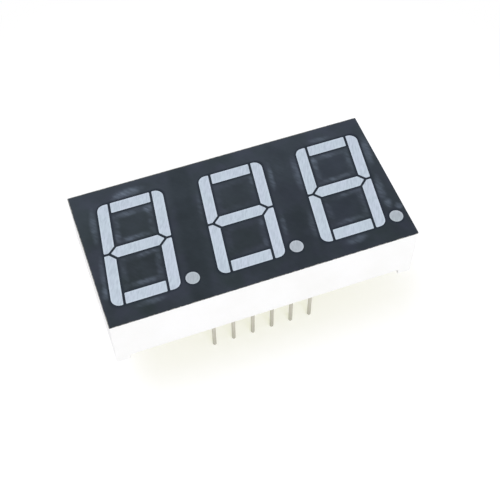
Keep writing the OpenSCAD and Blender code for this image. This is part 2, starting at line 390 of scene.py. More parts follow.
@dataclass(frozen=True)
class MouldedPlastic:
    """White plastic as it leaves the mould: faintly cloudy, with a fine eggshell surface."""

    name: str = "white_moulding"
    pale: Colour = (0.915, 0.919, 0.953)
    deep: Colour = (0.890, 0.892, 0.915)
    cloud: Grain = Grain(6.0, span=(0.3, 0.7))
    grain: Grain = Grain(0.12, 2.0)
    roughness: Span = (0.34, 0.46)
    relief: float = 0.004
    ior: float = 1.5

    def material(self) -> bpy.types.Material:
        """Builds the finish."""
        graph = Graph(bpy.data.materials.new(self.name))
        grain = graph.noise(self.grain)
        colour = graph.blend(graph.noise(self.cloud), self.deep, self.pale)
        smooth, rough = self.roughness
        return graph.surface(Base_Color=colour, Roughness=grain.scaled(rough - smooth, smooth),
                             IOR=self.ior, Normal=graph.bump(grain, self.relief))


@dataclass(frozen=True)
class Loops:
    """Where a point of the face lies against the printed digits, in millimetres."""

    x: Field
    y: Field
    straight: Field
    side: Field
    inside: Field
    gap: Field

    @classmethod
    def on(cls, graph: Graph, size: DigitLayout) -> Loops:
        """Works out the distances in a material.

        Args:
            graph: The material's graph.
            size: Layout of the digits.

        Returns:
            The distances. The gap is to the nearest segment or point, and below 0 on them.
        """
        x, y, _ = graph.axes()
        straight = x - y * size.slope
        half = size.pitch / 2
        across = graph.math("WRAP", straight, half, -half)
        side = abs(across)
        height = abs(y)
        inside = (size.near - side).least(height - size.middle_half).least(size.level_inner - height)
        past_side = (side - size.far + size.corner_r).most(0.0)
        past_top = (height - size.top + size.corner_r).most(0.0)
        outside = graph.math("SQRT", past_side * past_side + past_top * past_top) - size.corner_r
        beside_point = x - straight + across - size.point_x
        below_point = y - size.point_y
        dot = graph.math("SQRT", beside_point * beside_point + below_point * below_point) - size.point_r
        return cls(x, y, straight, side, inside, inside.most(outside).least(dot))


@dataclass(frozen=True)
class PrintedInk:
    """Slate ink, printed a little off the middle of the face.

    Pale hazes are painted reflection, off the slopes where the moulding behind it sank.
    """

    layout: DigitLayout
    name: str = "slate_ink"
    slate: Colour = (0.0193, 0.0259, 0.0340)
    outline: Colour = (0.0130, 0.0195, 0.0310)
    # Painted shade for the middles of the loops.
    window_shade: Colour = (0.0140, 0.0200, 0.0234)
    # Pale colour of the painted sheen, the reflection off the sunken moulding.
    painted_sheen: Colour = (0.114, 0.142, 0.192)
    violet: Colour = (0.0240, 0.0290, 0.0434)
    moss: Colour = (0.0156, 0.0236, 0.0264)
    worn: Colour = (0.30, 0.30, 0.29)
    # Painted shade for the middles of the loops in the last digit, less dark.
    far_window_shade: Colour = (0.0176, 0.0232, 0.0340)
    # Painted shade in the gaps between the digits.
    trench_shade: Colour = (0.0114, 0.0170, 0.0214)
    # Strength of the painted sheen rings in the first, middle and last digits.
    ring_strength: Triple = (0.40, 0.12, 0.38)
    ring_span: Span = (0.12, 1.25)
    ring_soft: float = 0.45
    window_span: Span = (0.5, 1.4)
    trench_span: Span = (0.5, 1.6)
    trench_reach: Span = (9.0, 12.0)
    trench_fade: Span = (-3.0, 3.0)
    outline_span: Span = (0.05, 0.45)
    clean_span: Span = (0.10, 0.38)
    sheen_span: Span = (-4.0, 10.0)
    wear_span: Span = (0.11, 0.18)
    off_middle: tuple[float, float] = (0.04, -0.03)
    sheen_patch_span: Span = (0.0, 0.85)
    ring_cloud: Scaling = (0.8, 0.15)
    ring_share: float = 0.5
    streaked: Scaling = (0.8, 0.42)
    # Dust and painted sheen over the whole face, the painted sheen growing towards the top.
    dust_and_sheen_patch: float = 0.05
    dust_and_sheen_streak: float = 0.02
    sheen_slope: float = 0.10
    dust_and_sheen_cloud: float = 0.02
    dust_and_sheen_base: float = 0.008
    moss_share: float = 0.8
    trench_share: Scaling = (0.55, 0.35)
    window_share: float = 0.7
    outline_share: float = 0.75
    roughness: Scaling = (0.15, 0.42)
    ior: float = 1.45
    gloss: float = 0.10
    relief: float = 0.003
    chip_reach: float = 0.22
    seam: float = 0.05
    cloud: Grain = Grain(1.3, 4.0, span=(0.36, 0.66))
    streak: Grain = Grain(0.32, 3.0, (1.0, 0.28, 1.0), 42.0, (0.30, 0.72))
    patch: Grain = Grain(4.0, span=(0.35, 0.65))
    violet_drift: Grain = Grain(2.8, span=(0.38, 0.64))
    moss_drift: Grain = Grain(3.7, 2.0, (1.0, 0.6, 1.0), 15.0, (0.48, 0.70))
    chips: Grain = Grain(0.35, 4.0)
    tooth: Grain = Grain(0.14, 2.0)
    ragged: Grain = Grain(1.2, 4.0, (1.0, 0.5, 1.0), 20.0)
    ragged_reach: float = 0.45
    # Patches of painted reflection on the ink.
    sheen_patches: tuple[SheenPatch, ...] = tuple(SheenPatch(*row) for row in (
        (-11.6, 7.95, 2.5, 0.85, 0.62, 2.0), (-12.9, 7.75, 1.5, 0.55, 0.35, 12.0),
        (-12.7, 4.9, 1.5, 0.6, 0.44, -3.0), (-10.1, 4.8, 0.8, 0.75, 0.42, 0.0),
        (-12.8, 1.35, 2.3, 0.5, 0.42, 0.0), (-14.5, 2.2, 0.55, 1.3, 0.28),
        (-11.9, -1.25, 2.0, 0.45, 0.36, 0.0), (-11.0, -2.4, 0.55, 1.6, 0.14),
        (-13.2, -4.95, 2.1, 0.5, 0.32, 0.0), (-16.85, 4.4, 0.62, 3.2, 0.44), (-17.5, -2.4, 0.6, 3.0, 0.4),
        (-17.9, -4.9, 0.6, 1.5, 0.46), (-13.4, -7.7, 2.3, 0.6, 0.36, 0.0), (-4.1, 3.0, 0.5, 2.8, 0.16),
        (5.4, 4.2, 0.48, 2.7, 0.42), (4.4, -2.8, 0.48, 2.4, 0.28), (2.95, 4.5, 0.48, 1.3, 0.3),
        (2.1, -1.6, 0.6, 0.8, 0.28), (1.5, -4.6, 0.5, 0.9, 0.2), (8.7, 3.6, 0.8, 3.6, 0.38),
        (7.6, -4.0, 0.6, 2.9, 0.24), (11.15, 4.3, 0.6, 1.6, 0.44), (15.4, 3.4, 0.5, 2.2, 0.2),
        (12.9, 1.35, 2.3, 0.42, 0.3, 0.0), (13.4, -1.25, 2.3, 0.42, 0.2, 0.0),
        (14.6, -2.9, 0.48, 2.1, 0.12), (12.0, -5.0, 2.2, 0.42, 0.24, 0.0),
        (13.0, 7.7, 2.0, 0.5, 0.3, -3.0), (18.0, 4.0, 0.75, 3.2, 0.44), (17.2, -1.8, 0.8, 2.4, 0.45),
        (17.2, -4.3, 0.7, 1.0, 0.52), (18.3, -5.0, 0.7, 0.6, 0.7, -35.0),
        (11.6, -7.85, 2.0, 0.75, 0.42, 3.0), (-13.1, -3.3, 2.2, 2.2, 0.05),
        (13.0, 4.95, 2.6, 0.5, 0.3, 0.0), (6.6, 5.2, 1.6, 2.4, 0.06)))

    def _patches(self, graph: Graph) -> Field:
        """Sum of the patches of painted reflection.

        Args:
            graph: The graph that they are drawn in.

        Returns:
            Their share at each point.
        """
        coords = graph.node("ShaderNodeTexCoord").outputs["Object"]
        shift = graph.node("ShaderNodeVectorMath", operation="MULTIPLY_ADD")
        graph.feed(shift.inputs[0], graph.noise_node(self.ragged).outputs["Color"])
        shift.inputs[1].default_value = (self.ragged_reach * MM,) * 3
        graph.feed(shift.inputs[2], coords)
        offset = self.ragged_reach / 2
        total: Field | float = 0.0
        for sheen_patch in self.sheen_patches:
            placed = graph.node("ShaderNodeMapping", vector_type="TEXTURE")
            middle = (sheen_patch.x + offset, sheen_patch.y + offset, self.layout.face_z + offset)
            placed.inputs["Location"].default_value = tuple(value * MM for value in middle)
            placed.inputs["Rotation"].default_value = (0.0, 0.0, math.radians(sheen_patch.turn_deg))
            placed.inputs["Scale"].default_value = (sheen_patch.half_l * MM, sheen_patch.half_w * MM, 1.0)
            graph.feed(placed.inputs["Vector"], shift.outputs[0])
            round_patch = graph.node("ShaderNodeTexGradient", gradient_type="SPHERICAL")
            graph.feed(round_patch.inputs["Vector"], placed.outputs["Vector"])
            share = Field(graph, round_patch.outputs["Fac"]).rise(*self.sheen_patch_span)
            total = graph.math("MULTIPLY_ADD", share, sheen_patch.strength, total)
        return total

    def material(self) -> bpy.types.Material:
        """Builds the finish."""
        graph = Graph(bpy.data.materials.new(self.name))
        size = self.layout
        loops = Loops.on(graph, size)
        straight, inside, gap = loops.straight, loops.inside, loops.gap
        half = size.pitch / 2
        first = straight.fall(-half - self.seam, -half + self.seam)
        last = straight.rise(half - self.seam, half + self.seam)
        # Painted shade in the gaps between the digits, towards the middle of the face, deeper on the left.
        trench_shade = (loops.side - size.far).rise(*self.trench_span) * abs(straight).fall(*self.trench_reach)

        # Painted reflection: pale rings inside the loops and patches of sheen, streaked.
        low, middle, high = self.ring_strength
        strength = first * (low - middle) + last * (high - middle) + middle
        ring = inside.band(*self.ring_span, self.ring_soft) * strength
        cloud = graph.noise(self.cloud)
        streak = graph.noise(self.streak)
        rings = ring * cloud.scaled(*self.ring_cloud) * self.ring_share
        share = (rings + self._patches(graph)) * streak.scaled(*self.streaked)
        # Painted sheen, lighter towards the top of the face, with dust and sheen everywhere, kept off the
        # edges of the segments.
        slope = loops.y.rise(*self.sheen_span) * self.sheen_slope
        dust_and_sheen = graph.noise(self.patch) * self.dust_and_sheen_patch + streak * self.dust_and_sheen_streak + slope
        share = (share + dust_and_sheen + cloud * self.dust_and_sheen_cloud + self.dust_and_sheen_base) * gap.rise(*self.clean_span)

        right, up = self.off_middle
        edge = (size.half_l - abs(loops.x - right)).least(size.half_w - abs(loops.y - up))
        wear = (edge + graph.noise(self.chips) * self.chip_reach).fall(*self.wear_span)

        tone = graph.blend(graph.noise(self.violet_drift), self.slate, self.violet)
        tone = graph.blend(graph.noise(self.moss_drift) * self.moss_share, tone, self.moss)
        shade = trench_shade * loops.x.fall(*self.trench_fade).scaled(*self.trench_share)
        tone = graph.blend(shade, tone, self.trench_shade)
        # Painted shade: the middles of the loops darker, less so in the last digit.
        window_shade = graph.blend(last, self.window_shade, self.far_window_shade)
        base = graph.blend(inside.rise(*self.window_span) * self.window_share, tone, window_shade)
        base = graph.blend(gap.fall(*self.outline_span) * self.outline_share, base, self.outline)
        # Mixes in the pale colour of the painted sheen, then the real wear at the rim.
        colour = graph.blend(wear, graph.blend(share, base, self.painted_sheen), self.worn)
        relief = graph.bump(graph.noise(self.tooth), self.relief)
        return graph.surface(Base_Color=colour, Roughness=share.scaled(*self.roughness), IOR=self.ior,
                             Specular_IOR_Level=self.gloss, Normal=relief)


@dataclass(frozen=True)
class Tones:
    """Colours of a resin: two pale ones that it drifts between, and a deep one under its texture."""

    lilac: Colour
    sky: Colour
    deep: Colour


@dataclass(frozen=True)
class DiffusingResin:
    """Grey resin with the fine slanting texture of the film it was cast against, paler along its rim."""

    layout: DigitLayout
    name: str
    tones: Tones
    tint: Grain = Grain(2.2, 2.0, span=(0.34, 0.66))
    weave: Grain = Grain(0.17, 2.0, (1.0, 0.20, 1.0), -24.0)
    weave_span: Span = (0.28, 0.66)
    speck: Grain = Grain(0.10, 2.0)
    calm: Grain = Grain(1.5, 2.0, span=(0.40, 0.60))
    rim_span: Span = (-0.24, -0.05)
    woven: Scaling = (0.4, 0.6)
    calm_share: float = 0.24
    texture_share: float = 0.62
    speck_share: float = 0.25
    rim_share: float = 0.30
    base_share: float = 0.07
    roughness: Scaling = (0.1, 0.5)
    ior: float = 1.52
    gloss: float = 0.35
    relief: float = 0.006

    def material(self) -> bpy.types.Material:
        """Builds the finish."""
        graph = Graph(bpy.data.materials.new(self.name))
        weave = graph.noise(self.weave)
        speck = graph.noise(self.speck)
        calm = graph.noise(self.calm)
        rim = Loops.on(graph, self.layout).gap.rise(*self.rim_span)
        woven = weave.rise(*self.weave_span) * calm.scaled(*self.woven)
        texture = (woven + (1.0 - calm) * self.calm_share) * self.texture_share
        share = texture + speck * self.speck_share + rim * self.rim_share + self.base_share
        pale = graph.blend(graph.noise(self.tint), self.tones.sky, self.tones.lilac)
        colour = graph.blend(share, self.tones.deep, pale)
        return graph.surface(Base_Color=colour, Roughness=speck.scaled(*self.roughness), IOR=self.ior,
                             Specular_IOR_Level=self.gloss, Normal=graph.bump(weave, self.relief))


@dataclass(frozen=True)
class GlassLaminate:
    """Woven glass board, pale yellow, with its weave just showing."""

    name: str = "glass_laminate"
    pale: Colour = (0.66, 0.60, 0.36)
    deep: Colour = (0.55, 0.48, 0.25)
    thread: float = 0.45
    cloud: Grain = Grain(3.0)
    weave_share: float = 0.5
    cloud_share: float = 0.5
    roughness: float = 0.38
    relief: float = 0.01

    def material(self) -> bpy.types.Material:
        """Builds the finish."""
        graph = Graph(bpy.data.materials.new(self.name))
        x, y, _ = graph.axes()
        turns = 2 * math.pi / self.thread
        waves = graph.math("SINE", x * turns) * graph.math("SINE", y * turns)
        weave = waves.scaled(*WAVE_TO_SHARE)
        share = weave * self.weave_share + graph.noise(self.cloud) * self.cloud_share
        colour = graph.blend(share, self.deep, self.pale)
        return graph.surface(Base_Color=colour, Roughness=self.roughness,
                             Normal=graph.bump(weave, self.relief))


@dataclass(frozen=True)
class Metal:
    """Metal with brushed or mottled brightness, darker towards the bottom below the heights where that
    darkening ends.
    """

    name: str
    bright: Colour
    dull: Colour
    roughness: float
    grain: float
    stretch: Triple = (1.0, 1.0, 1.0)
    relief: float = 0.004
    dim_span: Span | None = None
    dim_scaling: Scaling = (0.45, 0.55)
    cloud_growth: float = 6.0
    grain_share: float = 0.5
    cloud_share: float = 0.5
    uneven: Scaling = (0.15, -0.07)

    def material(self) -> bpy.types.Material:
        """Builds the finish."""
        graph = Graph(bpy.data.materials.new(self.name))
        grain = graph.noise(Grain(self.grain, stretch=self.stretch))
        cloud = graph.noise(Grain(self.grain * self.cloud_growth))
        share = grain * self.grain_share + cloud * self.cloud_share
        # Darker towards the bottom, over the given heights.
        if self.dim_span is not None:
            share = share * graph.axes()[2].rise(*self.dim_span).scaled(*self.dim_scaling)
        colour = graph.blend(share, self.dull, self.bright)
        gain, offset = self.uneven
        return graph.surface(Base_Color=colour, Metallic=1.0,
                             Roughness=cloud.scaled(gain, self.roughness + offset),
                             Normal=graph.bump(grain, self.relief))


@dataclass(frozen=True)
class CastResin:
    """Milky potting resin with a glossy skin and a few bubbles under it."""

    name: str = "potting_resin"
    pale: Colour = (0.80, 0.78, 0.69)
    deep: Colour = (0.66, 0.63, 0.52)
    bubble: float = 1.1
    bubble_edge: Span = (0.06, 0.16)
    cloud: Grain = Grain(5.0, 4.0)
    cloud_span: Span = (0.3, 0.7)
    rare: Grain = Grain(2.0, 1.0, span=(0.55, 0.62))
    bubble_share: float = 0.4
    roughness: float = 0.16
    ior: float = 1.5
    skin: float = 0.3
    relief: float = 0.03

    def material(self) -> bpy.types.Material:
        """Builds the finish."""
        graph = Graph(bpy.data.materials.new(self.name))
        cloud = graph.noise(self.cloud)
        cells = graph.node("ShaderNodeTexVoronoi", feature="F1")
        graph.feed(cells.inputs["Vector"], graph.place())
        cells.inputs["Scale"].default_value = 1.0 / self.bubble
        bubble = Field(graph, cells.outputs["Distance"]).fall(*self.bubble_edge)
        share = cloud.rise(*self.cloud_span) - bubble * graph.noise(self.rare) * self.bubble_share
        colour = graph.blend(share, self.deep, self.pale)
        return graph.surface(Base_Color=colour, Roughness=self.roughness, IOR=self.ior,
                             Coat_Weight=self.skin, Normal=graph.bump(cloud, self.relief))


@dataclass(frozen=True)
class DieCrystal:
    """Dark semiconductor die with sawn, sparkling sides."""

    name: str = "die_crystal"
    pale: Colour = (0.20, 0.19, 0.17)
    deep: Colour = (0.07, 0.07, 0.08)
    grain: Grain = Grain(0.03, 2.0)
    roughness: Scaling = (0.2, 0.2)
    metallic: float = 0.4

    def material(self) -> bpy.types.Material:
        """Builds the finish."""
        graph = Graph(bpy.data.materials.new(self.name))
        grain = graph.noise(self.grain)
        colour = graph.blend(grain, self.deep, self.pale)
        return graph.surface(Base_Color=colour, Roughness=grain.scaled(*self.roughness),
                             Metallic=self.metallic)


@dataclass(frozen=True)
class StudioPaper:
    """Pale paper that keeps faint shadows near the object, runs to plain white and has no underside."""

    name: str = "studio_paper"
    colour: Colour = (0.80, 0.80, 0.79)
    shaded: Colour = (0.41, 0.40, 0.62)
    lift: float = 1.19
    dapple: float = 0.98
    grain: Grain = Grain(2.0, 2.0)
    shadow_reach: Span = (34.0, 62.0)

    def material(self) -> bpy.types.Material:
        """Builds the finish."""
        graph = Graph(bpy.data.materials.new(self.name))
        plain = graph.node("ShaderNodeBsdfDiffuse")
        graph.feed(plain.inputs["Color"], self.colour)
        tinted = graph.node("ShaderNodeBsdfDiffuse")
        lit = tuple(c * self.lift for c in self.shaded)
        deeper = tuple(c * self.lift * self.dapple for c in self.shaded)
        graph.feed(tinted.inputs["Color"], graph.blend(graph.noise(self.grain), deeper, lit))
        white = graph.node("ShaderNodeEmission")
        graph.feed(white.inputs["Color"], tuple(1.0 - c for c in self.shaded))
        bright = graph.node("ShaderNodeAddShader")
        graph.feed(bright.inputs[0], tinted.outputs[0])
        graph.feed(bright.inputs[1], white.outputs[0])
        blank = graph.node("ShaderNodeEmission")
        x, y, _ = graph.axes()
        away = graph.math("SQRT", x * x + y * y).rise(*self.shadow_reach)
        below = graph.node("ShaderNodeNewGeometry").outputs["Backfacing"]
        clear = graph.node("ShaderNodeBsdfTransparent")
        shown = graph.stack(graph.seen(), plain, graph.stack(away, bright, blank))
        return graph.end(graph.stack(below, shown, clear))


def deselect() -> None:
    """Clears the selection, so that an operator acts only on what is picked next."""
    for other in bpy.context.selected_objects:
        other.select_set(False)
    bpy.context.view_layer.objects.active = None


def pick(piece: bpy.types.Object) -> None:
    """Makes one object the only one selected, and active."""
    deselect()
    piece.select_set(True)
    bpy.context.view_layer.objects.active = piece


def add_object(name: str, data: bpy.types.ID) -> bpy.types.Object:
    """Adds an object with the data to the scene."""
    made = bpy.data.objects.new(name, data)
    bpy.context.scene.collection.objects.link(made)
    return made


def foot(low: Vector, high: Vector) -> Vector:
    """Middle of the underside of a box."""
    return Vector(((low.x + high.x) / 2, (low.y + high.y) / 2, low.z))


def clear_marks(mesh: bpy.types.Mesh) -> None:
    """Deselects every vertex, edge and face of a mesh, with its piece in object mode."""
    for group in (mesh.vertices, mesh.edges, mesh.polygons):
        group.foreach_set("select", [False] * len(group))


def select_edges(piece: bpy.types.Object, test: Callable[[bpy.types.MeshEdge], bool]) -> int:
    """Selects edges of a mesh by their place, with the piece in object mode.

    Args:
        piece: The object.
        test: Test on each edge.

    Returns:
        How many edges were selected.
    """
    clear_marks(piece.data)
    chosen = [edge for edge in piece.data.edges if test(edge)]
    for edge in chosen:
        edge.select = True
    return len(chosen)


def select_faces(piece: bpy.types.Object, outwards: Vector) -> None:
    """Selects the flat faces of a mesh that look one way, with the piece in object mode."""
    clear_marks(piece.data)
    for face in piece.data.polygons:
        face.select = face.normal.dot(outwards) > ALIGNED


def edit(piece: bpy.types.Object, mode: str) -> None:
    """Opens a piece in edit mode to pick by vertex, edge or face."""
    pick(piece)
    bpy.ops.object.mode_set(mode="EDIT")
    bpy.ops.mesh.select_mode(type=mode)


def edit_rim(piece: bpy.types.Object) -> None:
    """Opens a piece in edit mode with its open edges selected."""
    edit(piece, "EDGE")
    bpy.ops.mesh.select_all(action="DESELECT")
    bpy.ops.mesh.select_non_manifold(extend=False)


def done() -> None:
    """Goes back to object mode."""
    bpy.ops.object.mode_set(mode="OBJECT")


def smooth(piece: bpy.types.Object, fold_deg: float) -> None:
    """Shades a piece smooth, apart from edges that fold by more than the angle."""
    pick(piece)
    bpy.ops.object.shade_smooth_by_angle(angle=math.radians(fold_deg))


def close_off(piece: bpy.types.Object, fold_deg: float) -> None:
    """Ends a piece in edit mode: turns its normals outwards and shades it smooth between folds."""
    bpy.ops.mesh.select_all(action="SELECT")
    bpy.ops.mesh.normals_make_consistent(inside=False)
    done()
    smooth(piece, fold_deg)


def merged_copy(node: bpy.types.Object, name: str) -> bpy.types.Object:
    """Copies a node's mesh into a new piece, with its triangles joined into flat faces.

    Args:
        node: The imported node.
        name: Name of the new piece.

    Returns:
        The new object, at the origin.
    """
    piece = add_object(name, node.data.copy())
    edit(piece, "VERT")
    bpy.ops.mesh.select_all(action="SELECT")
    bpy.ops.mesh.remove_doubles(threshold=WELD)
    bpy.ops.mesh.dissolve_limited(angle_limit=math.radians(FLAT_DEG))
    done()
    return piece


def settle(piece: bpy.types.Object) -> None:
    """Bakes an object's place into its mesh, so that it sits at the origin."""
    pick(piece)
    bpy.ops.object.transform_apply(location=True, rotation=True, scale=True)


def finish_piece(piece: bpy.types.Object, material: bpy.types.Material,
                 replaces: Sequence[str]) -> None:
    """Dresses a new piece and ties it to the frame.

    Args:
        piece: The piece.
        material: Its finish.
        replaces: Nodes that it stands for.
    """
    piece.data.materials.clear()
    piece.data.materials.append(material)
    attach(piece, ROOT)
    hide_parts(*replaces)
    LOG.info("piece %s: %d faces", piece.name, len(piece.data.polygons))


def dress(nodes: Iterable[bpy.types.Object], material: bpy.types.Material) -> None:
    """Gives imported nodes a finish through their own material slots."""
    for node in nodes:
        if not node.material_slots:
            node.data.materials.append(None)
        for holder in node.material_slots:
            holder.material = material
        LOG.info("node %s: %s", node.name, material.name)


@dataclass
class Housing:
    """White moulding with its light wells, ribs and standoffs, and the marks that its mould leaves."""

    nodes: dict[str, bpy.types.Object]
    edge_break: float = 0.06 * MM
    edge_steps: int = 2
    fold_deg: float = 30.0
    mark_sides: int = 32
    ejector_r: float = 0.30 * MM
    ejector_depth: float = 0.06 * MM
    gate_r: float = 0.85 * MM
    gate_depth: float = 0.10 * MM
    stub_r: float = 0.35 * MM
    stub_h: float = 0.06 * MM

    def _break_edges(self, piece: bpy.types.Object, below: float) -> None:
        """Breaks the sharp edges round the rim and the standoffs.

        Args:
            piece: The moulding.
            below: Height that such an edge lies under.
        """
        mesh = piece.data
        normals: dict[tuple[int, int], list[Vector]] = {}
        for face in mesh.polygons:
            for key in face.edge_keys:
                normals.setdefault(key, []).append(face.normal.copy())
        fold = math.cos(math.radians(self.fold_deg))

        def outer(edge: bpy.types.MeshEdge) -> bool:
            """True for a sharp edge under the height."""
            sides = normals.get(tuple(sorted(edge.vertices)), [])
            if len(sides) != 2 or sides[0].dot(sides[1]) > fold:
                return False
            return all(mesh.vertices[i].co.z < below - LEVEL for i in edge.vertices)

        count = select_edges(piece, outer)
        edit(piece, "EDGE")
        bpy.ops.mesh.bevel(offset=self.edge_break, segments=self.edge_steps, affect="EDGES")
        done()
        LOG.info("broke %d edges of the moulding", count)

    def _cutter(self, place: Vector, outwards: Vector, radius: float, depth: float) -> bpy.types.Object:
        """Adds a round cutter that reaches as far under the surface as over it.

        Args:
            place: Point on the surface of the moulding.
            outwards: Direction out of the moulding there.
            radius: Radius of the mark.
            depth: Depth of the mark.

        Returns:
            The cutter, with its place in its mesh.
        """
        deselect()
        bpy.ops.mesh.primitive_cylinder_add(
            vertices=self.mark_sides, radius=radius, depth=2 * depth, location=place,
            rotation=outwards.to_track_quat("Z", "Y").to_euler())
        cutter = bpy.context.active_object
        settle(cutter)
        return cutter

    def _mark(self, piece: bpy.types.Object, wall: float, low: Vector, high: Vector) -> None:
        """Sinks the ejector marks into the standoffs and the gate mark, with its stub, into one end.

        Args:
            piece: The moulding.
            wall: Thickness of its side walls.
            low: Its lowest corner.
            high: Its highest corner.
        """
        down, right = Vector((0, 0, -1)), Vector((1, 0, 0))
        inset = wall / 2
        cutters = [self._cutter(Vector((x, y, low.z)), down, self.ejector_r, self.ejector_depth)
                   for x in (low.x + inset, high.x - inset) for y in (low.y + inset, high.y - inset)]
        gate = self._cutter(Vector((high.x, 0, (low.z + high.z) / 2)), right, self.gate_r, self.gate_depth)
        select_faces(gate, -right)
        edit(gate, "FACE")
        bpy.ops.mesh.inset(thickness=self.gate_r - self.stub_r)
        bpy.ops.mesh.extrude_region_move(TRANSFORM_OT_translate={"value": tuple(right * self.stub_h)})
        done()
        pick(gate)
        for cutter in cutters:
            cutter.select_set(True)
        bpy.ops.object.join()
        pick(piece)
        cut = piece.modifiers.new("mould_marks", "BOOLEAN")
        cut.operation = "DIFFERENCE"
        cut.object = gate
        bpy.ops.object.modifier_apply(modifier=cut.name)
        bpy.data.objects.remove(gate)

    def build(self) -> None:
        """Finishes the moulding below its printed face."""
        low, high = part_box("reflector_housing")
        potting_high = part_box("back_potting")[1]
        piece = merged_copy(self.nodes["reflector_housing"], "housing_moulding")
        self._break_edges(piece, potting_high.z)
        self._mark(piece, high.x - potting_high.x, low, high)
        smooth(piece, self.fold_deg)
        flat = piece.modifiers.new("flat_walls", "WEIGHTED_NORMAL")
        flat.keep_sharp = True
        bpy.ops.object.modifier_apply(modifier=flat.name)
        finish_piece(piece, MouldedPlastic().material(), ["reflector_housing"])


@dataclass
class Face:
    """Printed ink and the resin bodies that show through it."""

    nodes: dict[str, bpy.types.Object]
    layout: DigitLayout
    bars: Tones = Tones((0.534, 0.598, 0.728), (0.514, 0.600, 0.704), (0.366, 0.428, 0.518))
    dots: Tones = Tones((0.436, 0.476, 0.552), (0.416, 0.478, 0.538), (0.297, 0.341, 0.392))

    def build(self) -> None:
        """Dresses the ink, the segments and the decimal points."""
        dress([self.nodes["face_ink"]], PrintedInk(self.layout).material())
        segments = [node for name, node in self.nodes.items() if "_segment_" in name]
        points = [node for name, node in self.nodes.items() if name.endswith("_decimal_point")]
        dress(segments, DiffusingResin(self.layout, "segment_resin", self.bars).material())
        dress(points, DiffusingResin(self.layout, "point_resin", self.dots).material())


@dataclass
class Electronics:
    """Circuit board with its copper, dies, bond wires and solder."""

    nodes: dict[str, bpy.types.Object]
    copper: Metal = Metal("copper_foil", (0.80, 0.46, 0.30), (0.62, 0.33, 0.20), 0.34, 0.25)
    gold: Metal = Metal("gold_wire", (0.95, 0.74, 0.34), (0.82, 0.60, 0.24), 0.22, 0.05)
    tin: Metal = Metal("tin_solder", (0.74, 0.74, 0.73), (0.52, 0.52, 0.51), 0.26, 0.2)

    def build(self) -> None:
        """Dresses every node that the moulding and the resin close in."""
        finishes = {"circuit_board": GlassLaminate(), "copper_pads": self.copper,
                    "solder_joints": self.tin, "_dies": DieCrystal(), "_bond_wires": self.gold}
        for ending, finish in finishes.items():
            found = [node for name, node in self.nodes.items() if name.endswith(ending)]
            dress(found, finish.material())


@dataclass
class PinRows:
    """Twelve tinned pins with a thicker shank and rounded, solder-dipped ends."""

    nodes: dict[str, bpy.types.Object]
    sides: int = 28
    dip: float = 1.6 * MM
    dip_end: float = 0.25 * MM
    dip_t: float = 0.004 * MM
    tip_round: float = 0.12 * MM
    tip_steps: int = 4
    bevel: float = 0.1 * MM
    fold_deg: float = 35.0
    # The pins get darker towards their lower ends.
    metal: Metal = Metal("tinned_pin", (0.83, 0.81, 0.74), (0.40, 0.39, 0.345), 0.34, 0.3,
                         (2.0, 2.0, 0.15), dim_span=(0.2, 4.5))

    def _rings(self, node: bpy.types.Object, low: Vector, high: Vector) -> list[tuple[float, float]]:
        """Radius and height of each ring of a pin, from its tip upwards, as its node has them.

        Args:
            node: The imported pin.
            low: Its lowest corner.
            high: Its highest corner.

        Returns:
            The rings.
        """
        middle = (low + high) / 2
        points = [((point.co.xy - middle.xy).length, point.co.z) for point in node.data.vertices]
        shank_r = max(radius for radius, _ in points)
        seat = min(z for radius, z in points if radius > shank_r - LEVEL)
        lead_r = max(radius for radius, z in points if z < seat - LEVEL)
        LOG.info("pin: lead %.2f mm, shank %.2f mm, from %.2f mm up", 2 * lead_r / MM, 2 * shank_r / MM,
                 seat / MM)
        turns = [math.pi / 2 * step / self.tip_steps for step in range(self.tip_steps + 1)]
        tip = [(lead_r - self.tip_round * (1 - math.sin(turn)),
                low.z + self.tip_round * (1 - math.cos(turn))) for turn in turns]
        drawn_r = lead_r - self.dip_t
        dip_top = low.z + self.dip
        lead = [(lead_r, dip_top), (drawn_r, dip_top + self.dip_end), (drawn_r, seat)]
        shank = [(shank_r, seat), (shank_r, high.z - self.bevel), (shank_r - self.bevel, high.z)]
        return tip + lead + shank

    def _model(self, name: str, centre: Vector, rings: Sequence[tuple[float, float]]) -> bpy.types.Object:
        """Draws a pin up from its tip, ring by ring.

        Args:
            name: Name of the piece.
            centre: Middle of its tip.
            rings: Radius and height of each ring.

        Returns:
            The pin.
        """
        deselect()
        first_r, first_z = rings[0]
        bpy.ops.mesh.primitive_circle_add(vertices=self.sides, radius=first_r, fill_type="NGON",
                                          location=(centre.x, centre.y, first_z))
        piece = bpy.context.active_object
        piece.name = name
        settle(piece)
        edit(piece, "FACE")
        bpy.ops.mesh.select_all(action="SELECT")
        for (old_r, old_z), (new_r, new_z) in zip(rings, rings[1:]):
            bpy.ops.mesh.extrude_region_move(TRANSFORM_OT_translate={"value": (0, 0, new_z - old_z)})
            grow = new_r / old_r
            bpy.ops.transform.resize(value=(grow, grow, 1), center_override=(centre.x, centre.y, new_z))
        close_off(piece, self.fold_deg)
        return piece

    def build(self) -> None:
        """Models one pin and copies it to every place."""
        names = sorted(name for name in self.nodes if name.startswith("pin_"))
        material = self.metal.material()
        low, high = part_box(names[0])
        centre = foot(low, high)
        master = self._model("pin_lead", centre, self._rings(self.nodes[names[0]], low, high))
        for name in names:
            piece = add_object(name.replace("pin_", "lead_"), master.data.copy())
            piece.data.transform(Matrix.Translation(foot(*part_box(name)) - centre))
            finish_piece(piece, material, [name])
        bpy.data.objects.remove(master)


